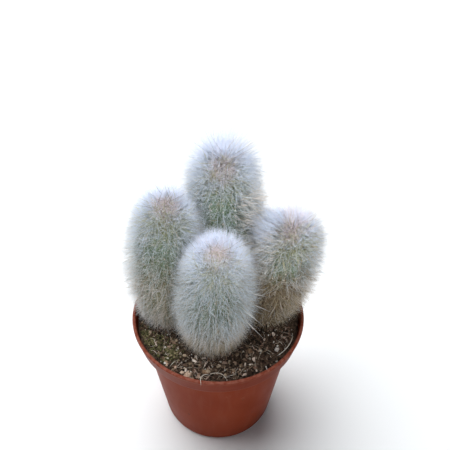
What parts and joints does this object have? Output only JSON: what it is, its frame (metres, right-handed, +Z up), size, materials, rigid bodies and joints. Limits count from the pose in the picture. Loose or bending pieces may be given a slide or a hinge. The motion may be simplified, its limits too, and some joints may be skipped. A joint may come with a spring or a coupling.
{
  "type": "potted columnar cactus",
  "caption": "Upright ribbed cactus stems of unequal height, covered in fine white spines and hair, rooted in peat soil in a tapered, collared nursery pot.",
  "frame": {"origin": "centre of the pot's flat standing face", "axes": "+Z up along the pot's axis, -Y towards the front stem, +X towards the right stem"},
  "size_m": [0.1174, 0.1053, 0.1927],
  "materials": {
    "pot": "satin",
    "soil": "matte",
    "stem": "matte"
  },
  "bodies": {
    "root": {"pot": "pot", "soil": "soil", "stem_front": "stem", "stem_left": "stem", "stem_back": "stem", "stem_right": "stem"}
  },
  "joints": []
}
